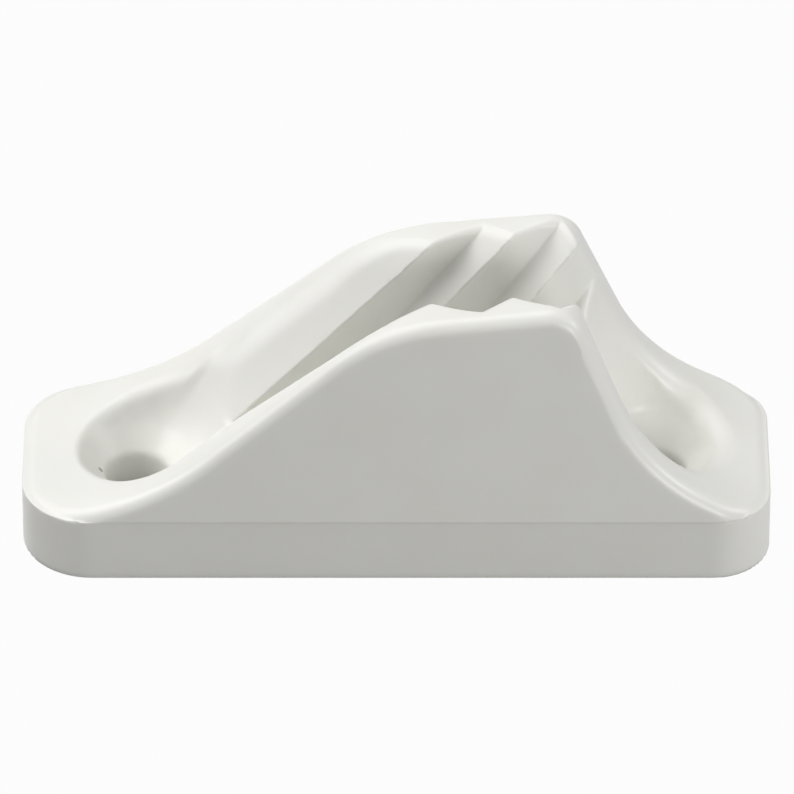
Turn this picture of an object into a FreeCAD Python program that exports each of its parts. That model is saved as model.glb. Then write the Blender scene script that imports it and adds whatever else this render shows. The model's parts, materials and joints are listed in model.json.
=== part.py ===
import FreeCAD, Part
import os
import re
import Sketcher
from FreeCAD import Placement, Rotation, Vector

# Jam cleat: one injection-moulded block of nylon.
# Millimetres. The rope runs along X, its loaded end towards -X; the base lies on Z = 0.
# The origin is the centre of the base, and the part is symmetric about the XZ plane.

doc = FreeCAD.newDocument("jam_cleat")

# Driving dimensions

sizes = doc.addObject("Spreadsheet::Sheet", "Sizes")
DRIVING = {
    # base flange
    "base_length": 75.0,
    "base_width": 23.6,
    "load_corner_radius": 7.2,
    "tail_corner_radius": 5.9,
    "parting_height": 7.0,
    "parting_ledge": 0.08,
    "wall_draft": 6.2,
    # side profile: corners of its tangent lines, each rounded
    "load_end_height": 7.1,
    "ramp_foot_x": -26.8,
    "ramp_foot_height": 7.2,
    "ramp_foot_radius": 28.0,
    "ramp_head_x": -1.7,
    "ramp_head_height": 28.7,
    "ramp_head_radius": 20.0,
    "crown_x": 17.5,
    "crown_height": 30.7,
    "crown_radius": 3.5,
    "drop_foot_x": 26.5,
    "drop_foot_height": 9.2,
    "drop_foot_radius": 20.0,
    "tail_end_height": 7.1,
    "outer_edge_radius": 1.3,
    # rope groove and its ribs
    "groove_floor": 10.0,
    "floor_half_width": 1.0,
    "groove_half_angle": 10.0,
    "rib_level": 25.0,
    "first_rib_x": -1.25,
    "rib_pitch": 7.9,
    "rib_land": 2.6,
    "rib_angle": 44.5,
    "rib_fan": 3.5,
    "rib_depth_floor": 0.7,
    "rib_depth_top": 1.25,
    # lead-in ramp at the loaded end
    "ramp_foot_rise": 0.75,
    "ramp_foot_half_width": 4.0,
    "ramp_toe_x": -20.0,
    "ramp_toe_height": 6.65,
    "ramp_toe_rise": 0.8,
    "ramp_toe_half_width": 9.4,
    "ramp_fold_x": -14.0,
    "ramp_fold_height": 13.1,
    "ramp_slope": 39.2,
    "ramp_side_rise": 1.0,
    "ramp_half_width": 8.4,
    # screw holes
    "hole_spacing": 52.0,
    "bore_radius": 3.2,
    "head_radius": 6.2,
    "bore_depth": 4.6,
    "load_wall_draft": 28.0,
    "tail_wall_draft": 8.0,
    # exit flare at the tail end
    "flare_floor_x": 18.5,
    "flare_top_x": 14.0,
    # cutting bodies: the level that they reach, how far they pass a face that they cut,
    # where the ramp's body ends, how high its sides are, and how long the groove's lead is
    "sky_height": 33.0,
    "cutter_margin": 1.0,
    "ramp_end_x": 12.0,
    "ramp_side_height": 8.0,
    "lead_flanks": 3.0,
    # coring of the underside
    "core_length": 7.0,
    "core_width": 8.2,
    "core_depth": 6.4,
    "core_web": 1.8,
    "core_corner": 0.8,
}
RIB_COUNT = 5
CORES_ALONG = 4
for row, (alias, value) in enumerate(DRIVING.items(), start=1):
    sizes.set(f"A{row}", alias)
    sizes.set(f"B{row}", str(value))
    sizes.setAlias(f"B{row}", alias)
doc.recompute()


def size(text):
    """An expression over the sheet's aliases, as another object's property needs it."""
    return re.sub(r"[a-z_]+", lambda m: f"Sizes.{m[0]}" if m[0] in DRIVING else m[0], text)


def worth(text):
    """The present value of an expression of sizes, in plain millimetres."""
    found = sizes.evalExpression(text)
    return float(getattr(found, "Value", found))


body = doc.addObject("PartDesign::Body", "Cleat")
body.Label = "cleat"
body.Placement = Placement(Vector(0, 0, 0), Rotation())


def originPlane(role):
    return next(f for f in body.Origin.OriginFeatures if f.Role == role)


def newSketch(name, role, offset="0", slide="0"):
    """A sketch on an origin plane, moved along the plane's normal and along its own X axis."""
    sketch = body.newObject("Sketcher::SketchObject", name)
    sketch.AttachmentSupport = [(originPlane(role), "")]
    sketch.MapMode = "FlatFace"
    sketch.setExpression(".AttachmentOffset.Base.z", size(offset))
    sketch.setExpression(".AttachmentOffset.Base.x", size(slide))
    return sketch


def pinPoint(sketch, name, line, position, across, up):
    """Fix one point of a sketch at coordinates given by sizes."""
    for kind, letter, text in (("DistanceX", "x", across), ("DistanceY", "y", up)):
        place = (-1, 1, line, position)
        number = sketch.addConstraint(Sketcher.Constraint(kind, *place, worth(text)))
        sketch.renameConstraint(number, f"{name}_{letter}")
        sketch.setExpression(f"Constraints.{name}_{letter}", size(text))


def drawPolygon(sketch, corners):
    """A closed polygon, each corner of which is named and driven by sizes."""
    points = [Vector(worth(across), worth(up), 0) for _, across, up in corners]
    count = len(points)
    first = sketch.GeometryCount
    for i in range(count):
        sketch.addGeometry(Part.LineSegment(points[i], points[(i + 1) % count]), False)
    for i in range(count):
        sketch.addConstraint(Sketcher.Constraint("Coincident", first + i, 2, first + (i + 1) % count, 1))
    for i, (name, across, up) in enumerate(corners):
        pinPoint(sketch, name, first + i, 1, across, up)


def roundCorners(sketch, radii):
    """Round polygon corners, given by number, and drive each radius by its size."""
    for corner, alias in radii.items():
        before = sketch.GeometryCount
        sketch.fillet(corner, 1, worth(alias), True, True)
        for geo in range(before, sketch.GeometryCount):
            if isinstance(sketch.Geometry[geo], Part.ArcOfCircle):
                number = sketch.addConstraint(Sketcher.Constraint("Radius", geo, worth(alias)))
                sketch.renameConstraint(number, f"round_{corner}")
                sketch.setExpression(f"Constraints.round_{corner}", size(alias))


def rectangleCorners(tag, half_length, half_width):
    return [
        (f"{tag}_near_load", f"-({half_length})", f"-({half_width})"),
        (f"{tag}_near_tail", half_length, f"-({half_width})"),
        (f"{tag}_far_tail", half_length, half_width),
        (f"{tag}_far_load", f"-({half_length})", half_width),
    ]


def settle(feature):
    doc.recompute()
    print(feature.Name, feature.State, round(body.Shape.Volume, 2), body.Shape.isValid())


# Block: the whole outline, with drafted walls from the deck up past the crown

DRAFT_RUN = "parting_ledge + parting_height * tan(wall_draft)"
BEYOND = f"{DRAFT_RUN} + cutter_margin"
block_outline = newSketch("BlockOutline", "XY_Plane")
drawPolygon(block_outline, rectangleCorners(
    "foot", f"base_length / 2 + {DRAFT_RUN}", f"base_width / 2 + {DRAFT_RUN}"
))
roundCorners(block_outline, {
    0: f"load_corner_radius + {DRAFT_RUN}",
    1: f"tail_corner_radius + {DRAFT_RUN}",
    2: f"tail_corner_radius + {DRAFT_RUN}",
    3: f"load_corner_radius + {DRAFT_RUN}",
})
block = body.newObject("PartDesign::Pad", "Block")
block.Profile = block_outline
block.setExpression("Length", size("sky_height"))
block.setExpression("TaperAngle", size("-wall_draft"))
settle(block)

# Side profile: all that lies above the flanges, the long ramp, the crown and the steep drop

profile = newSketch("SideProfile", "XZ_Plane")
END_X = f"(base_length / 2 + {BEYOND})"
drawPolygon(profile, [
    ("load_end", f"-{END_X}", "load_end_height"),
    ("ramp_foot", "ramp_foot_x", "ramp_foot_height"),
    ("ramp_head", "ramp_head_x", "ramp_head_height"),
    ("crown", "crown_x", "crown_height"),
    ("drop_foot", "drop_foot_x", "drop_foot_height"),
    ("tail_end", END_X, "tail_end_height"),
    ("tail_sky", END_X, "sky_height + cutter_margin"),
    ("load_sky", f"-{END_X}", "sky_height + cutter_margin"),
])
roundCorners(profile, {
    1: "ramp_foot_radius",
    2: "ramp_head_radius",
    3: "crown_radius",
    4: "drop_foot_radius",
})
skyline = body.newObject("PartDesign::Pocket", "Skyline")
skyline.Profile = profile
skyline.SideType = "Symmetric"
skyline.setExpression("Length", size(f"base_width + 2 * ({BEYOND})"))
settle(skyline)


def isWall(face):
    """A drafted side wall: its normal is close to level."""
    u0, u1, v0, v1 = face.ParameterRange
    return abs(face.normalAt((u0 + u1) / 2, (v0 + v1) / 2).z) < 0.15


def rimEdges(shape, lowest):
    """The numbers of the edges where a side wall meets the top surface."""
    found = []
    for number, edge in enumerate(shape.Edges, start=1):
        faces = shape.ancestorsOfType(edge, Part.Face)
        walls = [isWall(face) for face in faces]
        if edge.BoundBox.ZMin > lowest and sorted(walls) == [False, True]:
            found.append(f"Edge{number}")
    return found


outer_round = body.newObject("PartDesign::Fillet", "OuterRound")
outer_round.Base = (skyline, rimEdges(skyline.Shape, worth("outer_edge_radius")))
outer_round.setExpression("Radius", size("outer_edge_radius"))
settle(outer_round)

# Plinth: below the parting line the walls are upright, and the block overhangs by the ledge

plinth_outline = newSketch("PlinthOutline", "XY_Plane")
drawPolygon(plinth_outline, rectangleCorners("plinth", "base_length / 2", "base_width / 2"))
roundCorners(plinth_outline, {
    0: "load_corner_radius",
    1: "tail_corner_radius",
    2: "tail_corner_radius",
    3: "load_corner_radius",
})
drawPolygon(plinth_outline, rectangleCorners(
    "outer", f"base_length / 2 + {BEYOND}", f"base_width / 2 + {BEYOND}"
))
plinth = body.newObject("PartDesign::Pocket", "Plinth")
plinth.Profile = plinth_outline
plinth.Reversed = True
plinth.setExpression("Length", size("parting_height"))
settle(plinth)


def subtractLoft(name, sections):
    """Cut the ruled body that joins the sections, corner to corner."""
    loft = body.newObject("PartDesign::SubtractiveLoft", name)
    loft.Profile = sections[0]
    loft.Sections = sections[1:]
    loft.Ruled = True
    loft.Closed = False
    return loft


# Lead-in ramp: a V that climbs from the screw hole to the start of the groove,
# nearly flat across at its foot

END_HEIGHT = "ramp_fold_height + (ramp_end_x - ramp_fold_x) * tan(ramp_slope)"
RAMP_SECTIONS = [
    ("Foot", "-hole_spacing / 2", "bore_depth", "ramp_foot_rise", "ramp_foot_half_width"),
    ("Toe", "ramp_toe_x", "ramp_toe_height", "ramp_toe_rise", "ramp_toe_half_width"),
    ("Fold", "ramp_fold_x", "ramp_fold_height", "ramp_side_rise", "ramp_half_width"),
    ("End", "ramp_end_x", END_HEIGHT, "ramp_side_rise", "ramp_half_width"),
]


def rampSection(name, station, floor, rise, half_width):
    """One cross-section of the ramp: flat bottom, two rising flanks and upright sides."""
    sketch = newSketch(f"Ramp{name}", "YZ_Plane", station)
    flank_top = f"{floor} + {rise} * ({half_width} - floor_half_width)"
    drawPolygon(sketch, [
        ("near_floor", "-floor_half_width", floor),
        ("far_floor", "floor_half_width", floor),
        ("far_side", half_width, flank_top),
        ("far_sky", half_width, f"{flank_top} + ramp_side_height"),
        ("near_sky", f"-{half_width}", f"{flank_top} + ramp_side_height"),
        ("near_side", f"-{half_width}", flank_top),
    ])
    return sketch


ramp = subtractLoft("Ramp", [rampSection(*row) for row in RAMP_SECTIONS])
settle(ramp)

# Rope groove: a narrow V with saw-tooth ribs, which lean towards the tail end.
# Each rib has a short flank that faces the load and a long one that faces the tail.


def ribX(number, level):
    """Where the crest of a rib stands at a level: ribs fan out, each steeper than the last."""
    lean = f"tan(rib_angle + {number} * rib_fan)"
    return f"first_rib_x + {number} * rib_pitch + ({level} - rib_level) / {lean}"


def grooveSection(name, level, half_width, depth):
    """The groove's outline at one level: saw-teeth along the far wall, mirrored to the near."""
    outline = [
        ("lead", f"{ribX(0, level)} - lead_flanks * rib_land", f"{half_width} + lead_flanks * {depth}"),
    ]
    for number in range(RIB_COUNT):
        outline.append((f"crest_{number}", ribX(number, level), half_width))
        valley = f"{ribX(number + 1, level)} - rib_land"
        outline.append((f"valley_{number}", valley, f"{half_width} + {depth}"))
    far = [(f"far_{tag}", across, up) for tag, across, up in outline]
    near = [(f"near_{tag}", across, f"-({up})") for tag, across, up in reversed(outline)]
    sketch = newSketch(f"Groove{name}", "XY_Plane", level)
    drawPolygon(sketch, near + far)
    return sketch


TOP_HALF_WIDTH = "(floor_half_width + (sky_height - groove_floor) * tan(groove_half_angle))"
groove = subtractLoft("RopeGroove", [
    grooveSection("Floor", "groove_floor", "floor_half_width", "rib_depth_floor"),
    grooveSection("Top", "sky_height", TOP_HALF_WIDTH, "rib_depth_top"),
])
settle(groove)

# Exit flare: the groove widens into the pocket round the tail end's screw


def flareSection(name, level, apex):
    sketch = newSketch(f"Flare{name}", "XY_Plane", level)
    drawPolygon(sketch, [
        ("apex", apex, "0"),
        ("near_corner", "hole_spacing / 2", "-head_radius"),
        ("far_corner", "hole_spacing / 2", "head_radius"),
    ])
    return sketch


flare = subtractLoft("ExitFlare", [
    flareSection("Floor", "groove_floor", "flare_floor_x"),
    flareSection("Top", "sky_height", "flare_top_x"),
])
settle(flare)

# Screw holes: bore, countersink and the wall above it, which opens out more at the loaded end


def screwHole(name, centre, wall_draft):
    """Cut one hole, turned about the screw's axis."""
    profile = newSketch(f"{name}Profile", "XZ_Plane", "0", centre)
    sink_top = "(bore_depth + head_radius - bore_radius)"
    drawPolygon(profile, [
        ("axis_bottom", "0", "-cutter_margin"),
        ("bore_bottom", "bore_radius", "-cutter_margin"),
        ("bore_top", "bore_radius", "bore_depth"),
        ("sink_top", "head_radius", sink_top),
        ("wall_sky", f"head_radius + (sky_height - {sink_top}) * tan({wall_draft})", "sky_height"),
        ("axis_sky", "0", "sky_height"),
    ])
    hole = body.newObject("PartDesign::Groove", name)
    hole.Profile = profile
    hole.ReferenceAxis = (profile, ["V_Axis"])
    hole.Angle = 360.0
    settle(hole)


screwHole("TailScrewHole", "hole_spacing / 2", "tail_wall_draft")
screwHole("LoadScrewHole", "-hole_spacing / 2", "load_wall_draft")

# Coring of the underside: two rows of pockets that keep the base's walls even

core_outline = newSketch("CoreOutline", "XY_Plane")
core_pitch = "(core_length + core_web)"
core_left = f"-{core_pitch} * {CORES_ALONG / 2} + core_web / 2"
drawPolygon(core_outline, [
    ("rear_left", core_left, "core_web / 2"),
    ("rear_right", f"{core_left} + core_length", "core_web / 2"),
    ("front_right", f"{core_left} + core_length", "core_web / 2 + core_width"),
    ("front_left", core_left, "core_web / 2 + core_width"),
])
roundCorners(core_outline, {i: "core_corner" for i in range(4)})
core = body.newObject("PartDesign::Pocket", "Core")
core.Profile = core_outline
core.Reversed = True
core.setExpression("Length", size("core_depth"))
settle(core)
core_rows = body.newObject("PartDesign::MultiTransform", "CoreRows")
core_rows.Originals = [core]
body.Tip = core_rows
along = body.newObject("PartDesign::LinearPattern", "CoresAlong")
along.Direction = (originPlane("YZ_Plane"), [""])
along.setExpression("Length", size(f"{core_pitch} * {CORES_ALONG - 1}"))
along.Occurrences = CORES_ALONG
across = body.newObject("PartDesign::Mirrored", "CoresAcross")
across.MirrorPlane = (originPlane("XZ_Plane"), [""])
core_rows.Transformations = [along, across]
body.Tip = core_rows
settle(core_rows)

# Check every object, then write the part

for item in doc.Objects:
    if "Invalid" in item.State or "Error" in item.State:
        raise RuntimeError(f"{item.Name} failed: {item.State}")
if body.Shape.isNull() or not body.Shape.isValid() or len(body.Shape.Solids) != 1:
    raise RuntimeError("the cleat is not one valid solid")
os.makedirs("parts", exist_ok=True)
body.Shape.exportStep(f"parts/{body.Label}.step")
print(body.Label, round(body.Shape.Volume, 1), body.Shape.BoundBox)
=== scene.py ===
import json
import math

import bpy
import numpy as np
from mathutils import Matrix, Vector


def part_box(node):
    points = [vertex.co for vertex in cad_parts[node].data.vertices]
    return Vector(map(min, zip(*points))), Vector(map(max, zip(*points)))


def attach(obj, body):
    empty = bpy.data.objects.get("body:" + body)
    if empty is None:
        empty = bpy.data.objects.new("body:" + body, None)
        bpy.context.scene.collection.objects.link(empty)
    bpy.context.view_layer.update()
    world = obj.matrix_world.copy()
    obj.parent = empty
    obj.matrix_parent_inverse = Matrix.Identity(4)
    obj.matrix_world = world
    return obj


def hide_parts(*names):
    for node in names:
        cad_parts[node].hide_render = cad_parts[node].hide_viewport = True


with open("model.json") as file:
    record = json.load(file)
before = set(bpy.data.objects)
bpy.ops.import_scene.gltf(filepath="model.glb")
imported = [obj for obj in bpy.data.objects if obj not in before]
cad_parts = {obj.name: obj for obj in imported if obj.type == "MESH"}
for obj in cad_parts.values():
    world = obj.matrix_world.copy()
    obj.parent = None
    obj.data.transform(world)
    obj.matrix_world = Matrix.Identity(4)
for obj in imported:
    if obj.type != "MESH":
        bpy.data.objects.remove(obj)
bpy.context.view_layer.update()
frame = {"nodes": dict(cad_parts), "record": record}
print("frame loaded:", sorted(frame["nodes"]))

mm = 0.001
low, high = (np.array(corner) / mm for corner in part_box("cleat"))
mounts = {mount["name"]: mount["dims"] for mount in frame["record"]["mounts"]}

# The length and width of the base, the screw holes and their spacing come from the frame.
# The other sizes are millimetres: +X is the tail end, the base lies on Z = 0, and Y = 0 is
# the rope's line. Drafts and angles are degrees.
body = {
    "halfLength": high[0] - 0.03,
    "halfWidth": high[1] - 0.1,
    "loadCorner": 7.2,
    "tailCorner": 5.9,
    "partingHeight": 7.0,
    "ledge": 0.05,  # how far the upper half overhangs at the parting line
    "ledgeFade": (0.6, 2.6),  # height of the wall above that line from which and to which it grows
    "partingRadius": 0.08,
    "overlap": 0.5,  # how far the upper half draws in where it reaches down inside the plinth
    "overlapFade": 0.06,  # the height over which it draws in
    "wallDraft": 6.2,
    "footRadius": 0.35,  # the lower edge that rests on the deck
    "outerRadius": 1.3,  # where a side wall meets the top
    # side profile, as corners of its tangent lines: x, height, radius of the corner
    "profile": [
        (-38.5, 7.1, 0.0),
        (-26.8, 7.2, 28.0),
        (-1.7, 28.7, 20.0),
        (17.5, 30.7, 3.5),
        (26.5, 9.2, 20.0),
        (38.5, 7.1, 0.0),
    ],
}
groove = {
    "floor": 10.0,
    "floorHalfWidth": 1.0,
    "floorRadius": 0.3,
    "endRadius": 0.3,  # where the groove and the exit stop, above the tail's screw hole
    "halfAngle": 11.3,
    "ribLevel": 25.0,  # the height at which firstRib and pitch are measured
    "firstRib": -0.8,
    "pitch": 7.85,
    "land": 2.6,  # the short flank of a rib, along the cleat
    "ribAngle": 43.5,
    "ribFan": 4.0,  # each rib stands this much steeper than the one before
    "entrySlope": 0.68,  # of the face before the first rib, which carries on the ramp's flank
    "scoop": 1.5,  # how hollow the long flank is: 1 is flat
    "ribs": 5,
    "depthAtFloor": 0.8,
    "depthAtTop": 2.3,
    "depthTopHeight": 33.0,
    "crestRadius": 0.02,
    "valleyRadius": 0.08,
    "wallScale": 0.93,  # roughly turns the width across the groove into distance from its wall
}
ramp = {
    # stations of the trough: x, floor height, side rise per mm of width, half width
    "stations": [
        (-26.0, 4.6, 0.15, 4.6),
        (-20.0, 6.65, 0.97, 6.6),
        (-14.0, 13.1, 1.0, 9.6),
        (12.0, 34.3, 1.0, 9.6),
    ],
    "start": -24.0,
    "startRadius": 0.5,
    "stationRadius": 2.4,  # half the length over which one stretch eases into the next
    "sideRadius": 1.0,  # the soft corner between flank and side
    "foldRadius": 0.25,  # the crisp fold between flank and groove
    "climb": 1.65,  # about 1 plus the square of the floor's steepness on its longest stretch
}
dish = {
    "spacing": mounts["deck_screws"]["spacing_x_mm"],
    "boreRadius": mounts["deck_screws"]["hole_r_mm"],
    "headRadius": 6.2,
    "loadBoreDepth": 4.6,
    "tailBoreDepth": 5.0,
    "loadDraft": 28.0,
    "tailDraft": 8.0,
    "endDraft": 43.0,  # of the tail's wall towards the end, where it carries on the countersink
    "boreEdge": 0.3,  # the soft edge between bore and countersink
    "coneRadius": 0.4,  # the soft corner between the countersink and the wall above it
    "joinRadius": 0.6,  # how softly the dish opens into ramp or exit
}
flare = {
    "floorX": 18.5,
    "topX": 14.0,
    "topHeight": 33.0,
    "joinRadius": 1.0,
    "lean": 1.2,  # 1 plus an ample allowance for the square of the walls' lean
}
rim = {
    # rounding of the edge between the top and the hollow: x, radius
    "radii": [
        (-32.0, 0.5),
        (-28.0, 1.1),
        (-22.0, 1.0),
        (-19.0, 1.0),
        (-16.0, 1.8),
        (-6.0, 1.8),
        (0.0, 0.7),
        (15.0, 0.7),
        (20.0, 0.6),
        (25.0, 1.2),
        (28.0, 2.0),
        (31.0, 2.4),
    ],
}
coring = {
    "length": 7.0,
    "width": 8.2,
    "depth": 6.4,
    "web": 1.8,
    "corner": 0.8,
    "along": 4,
    "roofRadius": 0.4,
    "mouthRadius": 0.25,
}
net = {
    "cell": 0.42,
    "margin": 1.5,  # cells between the box of the cleat and the end of the grid
    "lineCells": (6.84, 6.92, 6.96, 7.00, 7.06),  # grid levels at the parting line
    "fineAbove": 7.3,  # the height above which tight curves get finer quads
    "fineAngles": (13.5, 21.0),  # degrees between a quad's normals that split it, per round
    "probe": 0.02,  # half the stretch over which the distance's gradient is measured
    "steps": 4,  # rounds in which points move onto the surface
    "longestStep": 0.15,
    "leastGradient": 0.2,  # squared, so that a flat spot of the distance throws no point far
}


# The larger of two distances, with a corner of radius r: the smaller of -r and the larger
# one, plus the length of (a + r, b + r) where those are above zero.
def roundMax(a, b, r):
    return np.minimum(-r, np.maximum(a, b)) + np.hypot(np.maximum(a + r, 0), np.maximum(b + r, 0))


# The smaller of two distances, with a corner of radius r.
def roundMin(a, b, r):
    return -roundMax(-a, -b, r)


def slope(degrees):
    return math.tan(math.radians(degrees))


# Distance to a rectangle with round corners, negative inside: beside the corners it is the
# larger of the two distances to the sides, and at a corner that from its arc's centre less r.
def roundedRectangle(x, y, halfX, halfY, r):
    qx, qy = np.abs(x) - halfX + r, np.abs(y) - halfY + r
    return np.hypot(np.maximum(qx, 0), np.maximum(qy, 0)) + np.minimum(np.maximum(qx, qy), 0) - r


# Height of the side profile: straight lines between the corners, and at each corner an arc
# that touches both lines. The arc starts and ends at radius times tan(half the bend) from
# the corner.
def skyline(x):
    px, pz, pr = (np.array(column, float) for column in zip(*body["profile"]))
    height = np.interp(x, px, pz)
    steep = np.diff(pz) / np.diff(px)
    for i in range(1, len(px) - 1):
        before, after = math.atan(steep[i - 1]), math.atan(steep[i])
        bend = 1 if after < before else -1  # 1 where the corner is a crown
        tangent = pr[i] * math.tan(abs(after - before) / 2)
        start = px[i] - tangent * math.cos(before)
        end = px[i] + tangent * math.cos(after)
        centreX = start + bend * pr[i] * math.sin(before)
        centreZ = pz[i] - tangent * math.sin(before) - bend * pr[i] * math.cos(before)
        arc = centreZ + bend * np.sqrt(np.maximum(pr[i] ** 2 - (x - centreX) ** 2, 0))
        height = np.where((x > start) & (x < end), arc, height)
    return height


# The side profile and the trough's lines are read from tables over x, with this step.
tableStep = 0.05
skyX = np.arange(-38.0, 38.01, tableStep)
skyZ = skyline(skyX)
skySlope = np.gradient(skyZ, skyX)


# Distance to the outside of the cleat: the drafted upper half under the side profile stands
# on the upright plinth, and the lower edge is rounded.
def blockDistance(x, y, z):
    above = z - body["partingHeight"]
    corner = np.where(x < 0, body["loadCorner"], body["tailCorner"])
    plinth = roundedRectangle(x, y, body["halfLength"], body["halfWidth"], corner)
    plinth = np.maximum(plinth, above)
    overlap = body["overlap"] * np.clip(-above / body["overlapFade"], 0, 1)
    top = np.interp(x, skyX, skyZ)
    ledge = body["ledge"] * np.interp(top - body["partingHeight"], body["ledgeFade"], (0, 1))
    grow = ledge - overlap - np.maximum(above, 0) * slope(body["wallDraft"])
    wall = roundedRectangle(x, y, body["halfLength"] + grow, body["halfWidth"] + grow, corner + grow)
    sky = (z - top) / np.sqrt(1 + np.interp(x, skyX, skySlope) ** 2)
    block = roundMin(roundMax(wall, sky, body["outerRadius"]), plinth, body["partingRadius"])
    return roundMax(block, -z, body["footRadius"])


tableX = np.arange(-45.0, 45.01, tableStep)


# Values at the stations of x, joined by a line whose bends are eased by taking its mean over
# a stretch as long as ease, twice.
def easedLine(x, values, ease):
    line = np.interp(tableX, x, values)
    box = np.ones(2 * round(ease / (2 * tableStep)) + 1)
    for _ in range(2):
        line = np.convolve(np.pad(line, len(box) // 2, mode="edge"), box / len(box), "valid")
    return line


stationX, *stationValues = zip(*ramp["stations"])
rampLines = [easedLine(stationX, values, ramp["stationRadius"]) for values in stationValues]


# Distance to the lead-in trough: a floor that climbs along the cleat, with flanks that rise
# from it to the sides. Height becomes distance roughly, by the root of 1 plus both squared
# slopes.
def troughDistance(x, y, z):
    floor, rise, halfWidth = (np.interp(x, tableX, line) for line in rampLines)
    height = floor + rise * np.maximum(y - groove["floorHalfWidth"], 0) - z
    flank = height / np.sqrt(ramp["climb"] + rise**2)
    trough = roundMax(flank, y - halfWidth, ramp["sideRadius"])
    return roundMax(trough, ramp["start"] - x, ramp["startRadius"])


# How far the groove's face stands from the rope's line: the plane of the rib crests, plus
# the deepest of a row of tents, one between each two crests.
def grooveWall(x, z):
    crestPlane = groove["floorHalfWidth"] + (z - groove["floor"]) * slope(groove["halfAngle"])
    part = (z - groove["floor"]) / (groove["depthTopHeight"] - groove["floor"])
    depth = groove["depthAtFloor"] + (groove["depthAtTop"] - groove["depthAtFloor"]) * part

    def crest(k):
        lean = slope(groove["ribAngle"] + k * groove["ribFan"])
        return groove["firstRib"] + k * groove["pitch"] + (z - groove["ribLevel"]) / lean

    saw = groove["entrySlope"] * (crest(0) - x)
    for k in range(groove["ribs"]):
        valley = crest(k + 1) - groove["land"]
        part = (x - crest(k)) / (valley - crest(k))
        hollowed = 1 - np.maximum(1 - part, 0) ** groove["scoop"]
        rising = depth * np.where(part < 0, part * groove["scoop"], hollowed)
        falling = depth * (crest(k + 1) - x) / groove["land"]
        tent = roundMin(rising, falling, groove["valleyRadius"])
        saw = roundMax(saw, tent, groove["crestRadius"])
    return crestPlane + saw


# A cut along the cleat, ended at the groove's floor and above the tail's screw hole.
def endedCut(wall, x, z):
    cut = roundMax(wall, groove["floor"] - z, groove["floorRadius"])
    return roundMax(cut, x - dish["spacing"] / 2, groove["endRadius"])


# Distance to the exit: a wedge that opens from its apex to the width of the tail's dish, with
# the apex further from the tail the higher it lies.
def exitDistance(x, y, z):
    part = (z - groove["floor"]) / (flare["topHeight"] - groove["floor"])
    apex = flare["floorX"] + (flare["topX"] - flare["floorX"]) * part
    spread = dish["headRadius"] / (dish["spacing"] / 2 - apex)
    return endedCut((y - spread * (x - apex)) / np.sqrt(flare["lean"] + spread**2), x, z)


# Distance to a bore, its countersink of 45 degrees and the wall above it, whose draft grows
# towards the end of the cleat. The 0.1 keeps the division sound on the screw's axis.
def screwDish(x, y, z, centre, boreDepth, draft, endDraft):
    out = np.hypot(x - centre, y)
    towardsEnd = np.maximum((x - centre) / np.maximum(out, 0.1), 0) ** 2
    opening = slope(draft) + (slope(endDraft) - slope(draft)) * towardsEnd
    cone = (out - dish["boreRadius"] - (z - boreDepth)) * math.sqrt(0.5)
    sinkTop = boreDepth + dish["headRadius"] - dish["boreRadius"]
    wall = (out - dish["headRadius"] - (z - sinkTop) * opening) / np.sqrt(1 + opening**2)
    sink = roundMax(cone, wall, dish["coneRadius"])
    return roundMin(sink, out - dish["boreRadius"], dish["boreEdge"])


# Distance to all that is hollow from above: both dishes, trough, ribbed groove and exit.
def hollowDistance(x, y, z):
    holeX = dish["spacing"] / 2
    loadDish = screwDish(x, y, z, -holeX, dish["loadBoreDepth"], dish["loadDraft"], dish["loadDraft"])
    tailDish = screwDish(x, y, z, holeX, dish["tailBoreDepth"], dish["tailDraft"], dish["endDraft"])
    ribbed = endedCut((y - grooveWall(x, z)) * groove["wallScale"], x, z)
    hollow = roundMin(loadDish, troughDistance(x, y, z), dish["joinRadius"])
    hollow = roundMin(hollow, ribbed, ramp["foldRadius"])
    tail = roundMin(tailDish, exitDistance(x, y, z), dish["joinRadius"])
    return roundMin(hollow, tail, flare["joinRadius"])


# Distance to the nearest pocket of the underside, of two rows with a web between them.
def pocketDistance(x, y, z):
    pitch = coring["length"] + coring["web"]
    reach = coring["along"] / 2
    number = np.floor(np.clip(x / pitch, -reach, reach - 0.001))  # just below the upper end
    alongX = x - (number + 0.5) * pitch
    acrossY = y - (coring["web"] + coring["width"]) / 2
    pocket = roundedRectangle(alongX, acrossY, coring["length"] / 2, coring["width"] / 2, coring["corner"])
    return roundMax(pocket, z - coring["depth"], coring["roofRadius"])


# Distance to the cleat's surface, negative inside: the block less the hollow, with a rounded
# rim between them, less the pockets. Both sides of the rope's line are alike.
def cleatDistance(x, y, z):
    y = np.abs(y)
    rimX, rimR = zip(*rim["radii"])
    solid = roundMax(blockDistance(x, y, z), -hollowDistance(x, y, z), np.interp(x, rimX, rimR))
    return roundMax(solid, -pocketDistance(x, y, z), coring["mouthRadius"])


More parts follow.
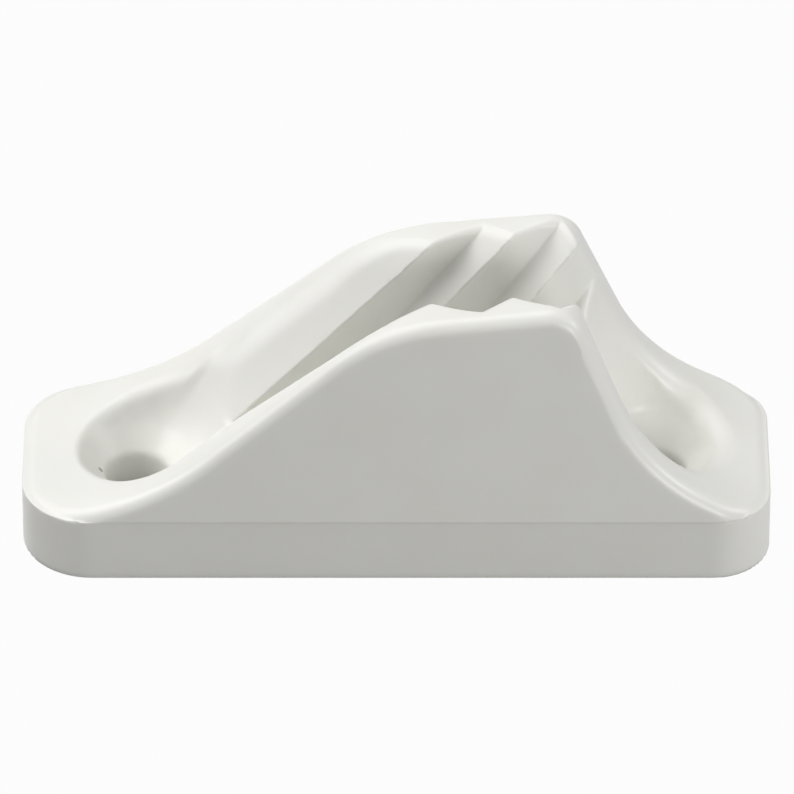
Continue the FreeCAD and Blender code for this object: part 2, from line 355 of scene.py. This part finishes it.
# Quads between the cells that the surface crosses: a cell's point is the mean of the
# crossings on its edges, and each crossed grid edge joins the four cells around it. Along the
# thin crests of the ribs this leaves about a hundred edges with four faces in place of two.
def surfaceNet(axes, field):
    cells = tuple(n - 1 for n in field.shape)
    total, count = np.zeros(cells + (3,)), np.zeros(cells)
    inside = field < 0
    crossed = []
    for axis in range(3):
        values, signs = np.moveaxis(field, axis, 0), np.moveaxis(inside, axis, 0)
        cut = signs[:-1] != signs[1:]
        part = np.where(cut, values[:-1] / np.where(cut, values[:-1] - values[1:], 1), 0)
        crossed.append((cut, signs[:-1]))
        others = [i for i in range(3) if i != axis]
        place = np.empty(cut.shape + (3,))
        place[..., axis] = axes[axis][:-1, None, None] + part * np.diff(axes[axis])[:, None, None]
        place[..., others[0]] = axes[others[0]][None, :, None]
        place[..., others[1]] = axes[others[1]][None, None, :]
        sums, counts = np.moveaxis(total, axis, 0), np.moveaxis(count, axis, 0)
        rows, columns = cut.shape[1] - 1, cut.shape[2] - 1
        for da in (0, 1):
            for db in (0, 1):
                window = (slice(None), slice(da, rows + da), slice(db, columns + db))
                sums += place[window] * cut[window][..., None]
                counts += cut[window]
    used = count > 0
    number = np.full(cells, -1)
    number[used] = np.arange(used.sum())
    points = total[used] / count[used][:, None]
    quads = []
    for axis, (cut, below) in enumerate(crossed):
        table = np.moveaxis(number, axis, 0)
        i, j, k = np.nonzero(cut[:, 1:-1, 1:-1])
        ring = [table[i, j, k], table[i, j + 1, k], table[i, j + 1, k + 1], table[i, j, k + 1]]
        quad = np.stack(ring, 1)
        turn = below[:, 1:-1, 1:-1][i, j, k] != (axis == 1)
        quad[~turn] = quad[~turn][:, ::-1]
        quads.append(quad)
    return points, np.concatenate(quads)


# Central differences of the distance at points.
def gradient(points):
    found = np.empty_like(points)
    for axis in range(3):
        shift = np.zeros(3)
        shift[axis] = net["probe"]
        found[:, axis] = cleatDistance(*(points + shift).T) - cleatDistance(*(points - shift).T)
    return found / (2 * net["probe"])


# Even grid lines, with the lines that an extra list asks for in place of those between them
# and those up to a third of a cell beside them.
def gridLine(start, end, extra=()):
    line = np.arange(start, end + net["cell"], net["cell"])
    if extra:
        line = line[(line < min(extra) - net["cell"] / 3) | (line > max(extra) + net["cell"] / 3)]
    return np.sort(np.concatenate([line, extra]))


# Moves points onto the surface: each step is the distance times the gradient, over the
# gradient's squared length. In the end no point stays outside the box of the CAD's cleat.
def settle(points):
    for _ in range(net["steps"]):
        uphill = gradient(points)
        squared = np.maximum((uphill**2).sum(1), net["leastGradient"])[:, None]
        move = cleatDistance(*points.T)[:, None] * uphill / squared
        points = points - np.clip(move, -net["longestStep"], net["longestStep"])
    return np.clip(points, low, high)


keyBase = 2**31  # more than the number of any point


# One whole number per edge, the same in both directions.
def edgeKeys(first, second):
    return np.minimum(first, second) * keyBase + np.maximum(first, second)


# Splits each quad between whose corners the surface turns by more than the angle into four.
# Returns the points, the quads left whole, the new quads, and the split edges with their
# middle points.
def splitQuads(points, quads, angle):
    uphill = gradient(points)
    normals = (uphill / np.linalg.norm(uphill, axis=1)[:, None])[quads]
    alongSides = (normals * normals[:, (1, 2, 3, 0)]).sum(2).min(1)
    acrossQuad = (normals[:, :2] * normals[:, 2:]).sum(2).min(1)
    turns = np.minimum(alongSides, acrossQuad) < math.cos(math.radians(angle))
    marked = turns & (points[quads][:, :, 2].min(1) > net["fineAbove"])
    chosen = quads[marked]
    keys, side = np.unique(edgeKeys(chosen, np.roll(chosen, -1, 1)), return_inverse=True)
    side = side.reshape(chosen.shape) + len(points)
    middles = len(points) + np.arange(len(keys))
    centre = len(points) + len(keys) + np.arange(len(chosen))
    halfway = (points[keys // keyBase] + points[keys % keyBase]) / 2
    fresh = np.concatenate([halfway, points[chosen].mean(1)])
    children = [np.stack([chosen[:, i], side[:, i], centre, side[:, i - 1]], 1) for i in range(4)]
    points = np.concatenate([points, settle(fresh)])
    return points, quads[~marked], np.concatenate(children), (keys, middles)


# Puts the middle of each split edge between its ends in every face that has the edge.
def insertMiddles(corners, face, keys, middles):
    first = np.r_[True, face[1:] != face[:-1]]
    following = np.roll(corners, -1)
    following[np.r_[first[1:], True]] = corners[first]
    wanted = edgeKeys(corners, following)
    place = np.minimum(np.searchsorted(keys, wanted), len(keys) - 1)
    hit = keys[place] == wanted
    copies = np.where(hit, 2, 1)
    corners, face = np.repeat(corners, copies), np.repeat(face, copies)
    corners[np.cumsum(copies)[hit] - 1] = middles[place[hit]]
    return corners, face


# The net over the whole box, settled onto the surface, with finer quads on tight curves.
def buildCleat():
    margin = net["margin"] * net["cell"]
    axes = [
        gridLine(low[0] - margin, high[0] + margin),
        gridLine(low[1] - margin, high[1] + margin),
        gridLine(low[2] - margin, high[2] + margin, net["lineCells"]),
    ]
    field = cleatDistance(axes[0][:, None, None], axes[1][None, :, None], axes[2][None, None, :])
    points, quads = surfaceNet(axes, field)
    points = settle(points)
    whole, splits = [], []
    for angle in net["fineAngles"]:
        points, kept, quads, split = splitQuads(points, quads, angle)
        whole.append(kept)
        splits.append(split)
    quads = np.concatenate(whole + [quads])
    corners, face = quads.ravel(), np.repeat(np.arange(len(quads)), 4)
    for split in splits:
        corners, face = insertMiddles(corners, face, *split)

    mesh = bpy.data.meshes.new("moulded_cleat")
    mesh.vertices.add(len(points))
    mesh.vertices.foreach_set("co", (points * mm).ravel())
    mesh.loops.add(len(corners))
    mesh.loops.foreach_set("vertex_index", corners)
    mesh.polygons.add(len(quads))
    mesh.polygons.foreach_set("loop_start", np.searchsorted(face, np.arange(len(quads))))
    mesh.polygons.foreach_set("use_smooth", np.ones(len(quads), bool))
    mesh.update(calc_edges=True)
    piece = bpy.data.objects.new("moulded_cleat", mesh)
    bpy.context.scene.collection.objects.link(piece)
    print("moulded_cleat:", len(points), "points,", len(corners) - 2 * len(quads), "triangles")
    return piece


# sRGB hex to the linear colour that a shader takes: a straight line in the darkest tones and
# a power of 2.4 above them, as the sRGB standard gives it.
def linear(hexColour):
    values = [int(hexColour[i:i + 2], 16) / 255 for i in (1, 3, 5)]
    return [v / 12.92 if v <= 0.04045 else ((v + 0.055) / 1.055) ** 2.4 for v in values] + [1.0]


# A node with its settings, by property name, socket name or socket number, and its input links.
def addNode(tree, kind, settings=None, links=None):
    node = tree.nodes.new(kind)
    for name, value in (settings or {}).items():
        if isinstance(name, int) or name in node.inputs:
            node.inputs[name].default_value = value
        else:
            setattr(node, name, value)
    for name, socket in (links or {}).items():
        tree.links.new(socket, node.inputs[name])
    return node


nylonLook = {
    "colour": "#EFEFEC",
    "tint": "#ECEBE4",  # the warmer of the two tones that change slowly over the part
    "flow": 9.0,  # mm, how far apart these tones lie
    "fleckColour": "#6B6350",
    "fleckPlace": (-29.7, -0.3, 5.1),  # mm, on the loaded end's countersink
    "fleckRadius": (0.14, 0.34),  # mm, darkest inside the first and gone outside the second
    "fleckWobble": 0.6,  # mm, the range over which the grain shifts the fleck's outline
    "fleckStrength": 0.8,
    "roughness": 0.37,
    "ior": 1.53,
    "grain": 0.25,  # mm, spark-eroded texture of the mould
    "grainHeight": 0.004,  # mm
    "grainStrength": 0.25,
    "depthShare": 0.12,  # share of the light that travels under the surface
    "depthRadius": (1.0, 0.9, 0.75),  # how far red, green and blue carry, times depthScale
    "depthScale": 1.2,  # mm
}


# White polyamide, injection moulded. It gives the eye a satin sheen with soft highlights, a
# little light carried under the surface, a very fine grain, a faint change of tone and one
# small dark fleck in the moulding.
def mouldedNylon():
    look = nylonLook
    material = bpy.data.materials.new("moulded_nylon")
    material.use_nodes = True
    tree = material.node_tree
    tree.nodes.clear()
    place = addNode(tree, "ShaderNodeTexCoord").outputs["Object"]
    flow = addNode(tree, "ShaderNodeTexNoise", {
        "Scale": 1 / (look["flow"] * mm),
        "Detail": 2.0,
    }, {"Vector": place})
    grain = addNode(tree, "ShaderNodeTexNoise", {
        "Scale": 1 / (look["grain"] * mm),
        "Detail": 3.0,
    }, {"Vector": place})
    colour = addNode(tree, "ShaderNodeMix", {"data_type": "RGBA"}, {"Factor": flow.outputs["Fac"]})
    colour.inputs["A"].default_value = linear(look["colour"])
    colour.inputs["B"].default_value = linear(look["tint"])
    wobble = addNode(tree, "ShaderNodeVectorMath", {
        "operation": "MULTIPLY_ADD",
        1: (look["fleckWobble"] * mm,) * 3,
    }, {0: grain.outputs["Color"], 2: place})
    # the grain's mean is a half, so it moves the place by half the wobble on the whole
    centre = [(v + look["fleckWobble"] / 2) * mm for v in look["fleckPlace"]]
    away = addNode(tree, "ShaderNodeVectorMath", {
        "operation": "DISTANCE",
        1: centre,
    }, {0: wobble.outputs[0]})
    fleck = addNode(tree, "ShaderNodeMapRange", {
        "From Min": look["fleckRadius"][0] * mm,
        "From Max": look["fleckRadius"][1] * mm,
        "To Min": look["fleckStrength"],
        "To Max": 0.0,
    }, {"Value": away.outputs["Value"]})
    marked = addNode(tree, "ShaderNodeMix", {"data_type": "RGBA"}, {"Factor": fleck.outputs["Result"]})
    marked.inputs["B"].default_value = linear(look["fleckColour"])
    tree.links.new(colour.outputs["Result"], marked.inputs["A"])
    bump = addNode(tree, "ShaderNodeBump", {
        "Strength": look["grainStrength"],
        "Distance": look["grainHeight"] * mm,
    }, {"Height": grain.outputs["Fac"]})
    shader = addNode(tree, "ShaderNodeBsdfPrincipled", {
        "Roughness": look["roughness"],
        "IOR": look["ior"],
        "Subsurface Weight": look["depthShare"],
        "Subsurface Radius": look["depthRadius"],
        "Subsurface Scale": look["depthScale"] * mm,
    }, {"Base Color": marked.outputs["Result"], "Normal": bump.outputs["Normal"]})
    addNode(tree, "ShaderNodeOutputMaterial", None, {"Surface": shader.outputs["BSDF"]})
    return material


cleat = buildCleat()
cleat.data.materials.append(mouldedNylon())
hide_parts("cleat")
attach(cleat, "root")
print("cleat ready")

view = {
    "pixels": 794,
    "mmPerPixel": 0.1001,
    "elevation": 36.0,
    "lens": 450.0,
    "sensor": 36.0,
    "aim": (0.09, 0.0, 13.98),
    "clip": (0.05, 10.0),  # m
}


# A long lens far away shows the cleat nearly without perspective. The distance is the lens
# times the width of the picture on the object, over the width of the sensor.
def addCamera():
    camera = bpy.data.cameras.new("camera")
    holder = bpy.data.objects.new("camera", camera)
    bpy.context.scene.collection.objects.link(holder)
    camera.sensor_width = view["sensor"]
    camera.lens = view["lens"]
    distance = view["lens"] * view["pixels"] * view["mmPerPixel"] / view["sensor"] * mm
    up = math.radians(view["elevation"])
    toCamera = Vector((0, -math.cos(up), math.sin(up)))
    holder.location = Vector(view["aim"]) * mm + toCamera * distance
    holder.rotation_euler = (-toCamera).to_track_quat("-Z", "Y").to_euler()
    camera.clip_start, camera.clip_end = view["clip"]
    bpy.context.scene.camera = holder


lamps = {
    # name: azimuth and elevation of the lamp seen from the object, distance m, size m, watts
    "key": (-120.0, 60.0, 0.5, 0.5, 2.0),
    "load": (-92.0, 35.0, 0.5, 0.25, 0.62),
    "front": (30.0, 9.0, 0.5, 0.14, 0.81),
    "tail": (80.0, 28.0, 0.5, 0.12, 0.58),
}
lampAim = 15.0  # mm above the middle of the base


# Square lamps around the point that they aim at. Azimuth 0 is the camera's side.
def addLamps():
    for name, (azimuth, elevation, distance, size, watts) in lamps.items():
        lamp = bpy.data.lights.new(name, "AREA")
        lamp.size = size
        lamp.energy = watts
        holder = bpy.data.objects.new(name, lamp)
        bpy.context.scene.collection.objects.link(holder)
        a, e = math.radians(azimuth), math.radians(elevation)
        away = Vector((math.sin(a) * math.cos(e), -math.cos(a) * math.cos(e), math.sin(e)))
        holder.location = Vector((0, 0, lampAim * mm)) + away * distance
        holder.rotation_euler = (-away).to_track_quat("-Z", "Y").to_euler()


studio = {
    "ambient": 0.16,
    "floorColour": "#7A7A78",
    "floorWhite": 0.97,  # share of plain white in the floor that the camera sees; the rest takes shadows
    "floorSize": 6.0,  # m
    "floorGap": 0.05,  # mm below the base
}


# Gives camera, glossy and transmission rays the shown shader, and all other rays the thing's
# own light. So the white backdrop shows behind the part and in its sheen, and adds no
# diffuse light.
def shownToCamera(tree, ownLight, shown):
    path = addNode(tree, "ShaderNodeLightPath")
    first = addNode(tree, "ShaderNodeMath", {"operation": "ADD"}, {
        0: path.outputs["Is Camera Ray"], 1: path.outputs["Is Glossy Ray"]})
    both = addNode(tree, "ShaderNodeMath", {"operation": "ADD", "use_clamp": True}, {
        0: first.outputs[0], 1: path.outputs["Is Transmission Ray"]})
    return addNode(tree, "ShaderNodeMixShader", None, {0: both.outputs[0], 1: ownLight, 2: shown})


def addStudio():
    white = linear("#FFFFFF")
    scene = bpy.context.scene
    scene.view_settings.view_transform = "Standard"
    world = bpy.data.worlds.new("studio")
    scene.world = world
    world.use_nodes = True
    tree = world.node_tree
    tree.nodes.clear()
    ambient = addNode(tree, "ShaderNodeBackground", {"Color": white, "Strength": studio["ambient"]})
    backdrop = addNode(tree, "ShaderNodeBackground", {"Color": white, "Strength": 1.0})
    mix = shownToCamera(tree, ambient.outputs[0], backdrop.outputs[0])
    addNode(tree, "ShaderNodeOutputWorld", None, {"Surface": mix.outputs[0]})

    floorPlace = (0, 0, (low[2] - studio["floorGap"]) * mm)
    bpy.ops.mesh.primitive_plane_add(size=studio["floorSize"], location=floorPlace)
    floor = bpy.context.object
    floor.name = "floor"
    material = bpy.data.materials.new("paper_floor")
    material.use_nodes = True
    tree = material.node_tree
    tree.nodes.clear()
    paper = addNode(tree, "ShaderNodeBsdfDiffuse", {"Color": linear(studio["floorColour"])})
    glow = addNode(tree, "ShaderNodeEmission", {"Color": white, "Strength": 1.0})
    shade = addNode(tree, "ShaderNodeMixShader", {0: studio["floorWhite"]}, {
        1: paper.outputs[0], 2: glow.outputs[0]})
    mix = shownToCamera(tree, paper.outputs[0], shade.outputs[0])
    addNode(tree, "ShaderNodeOutputMaterial", None, {"Surface": mix.outputs[0]})
    floor.data.materials.append(material)


addCamera()
addLamps()
addStudio()
print("studio ready")
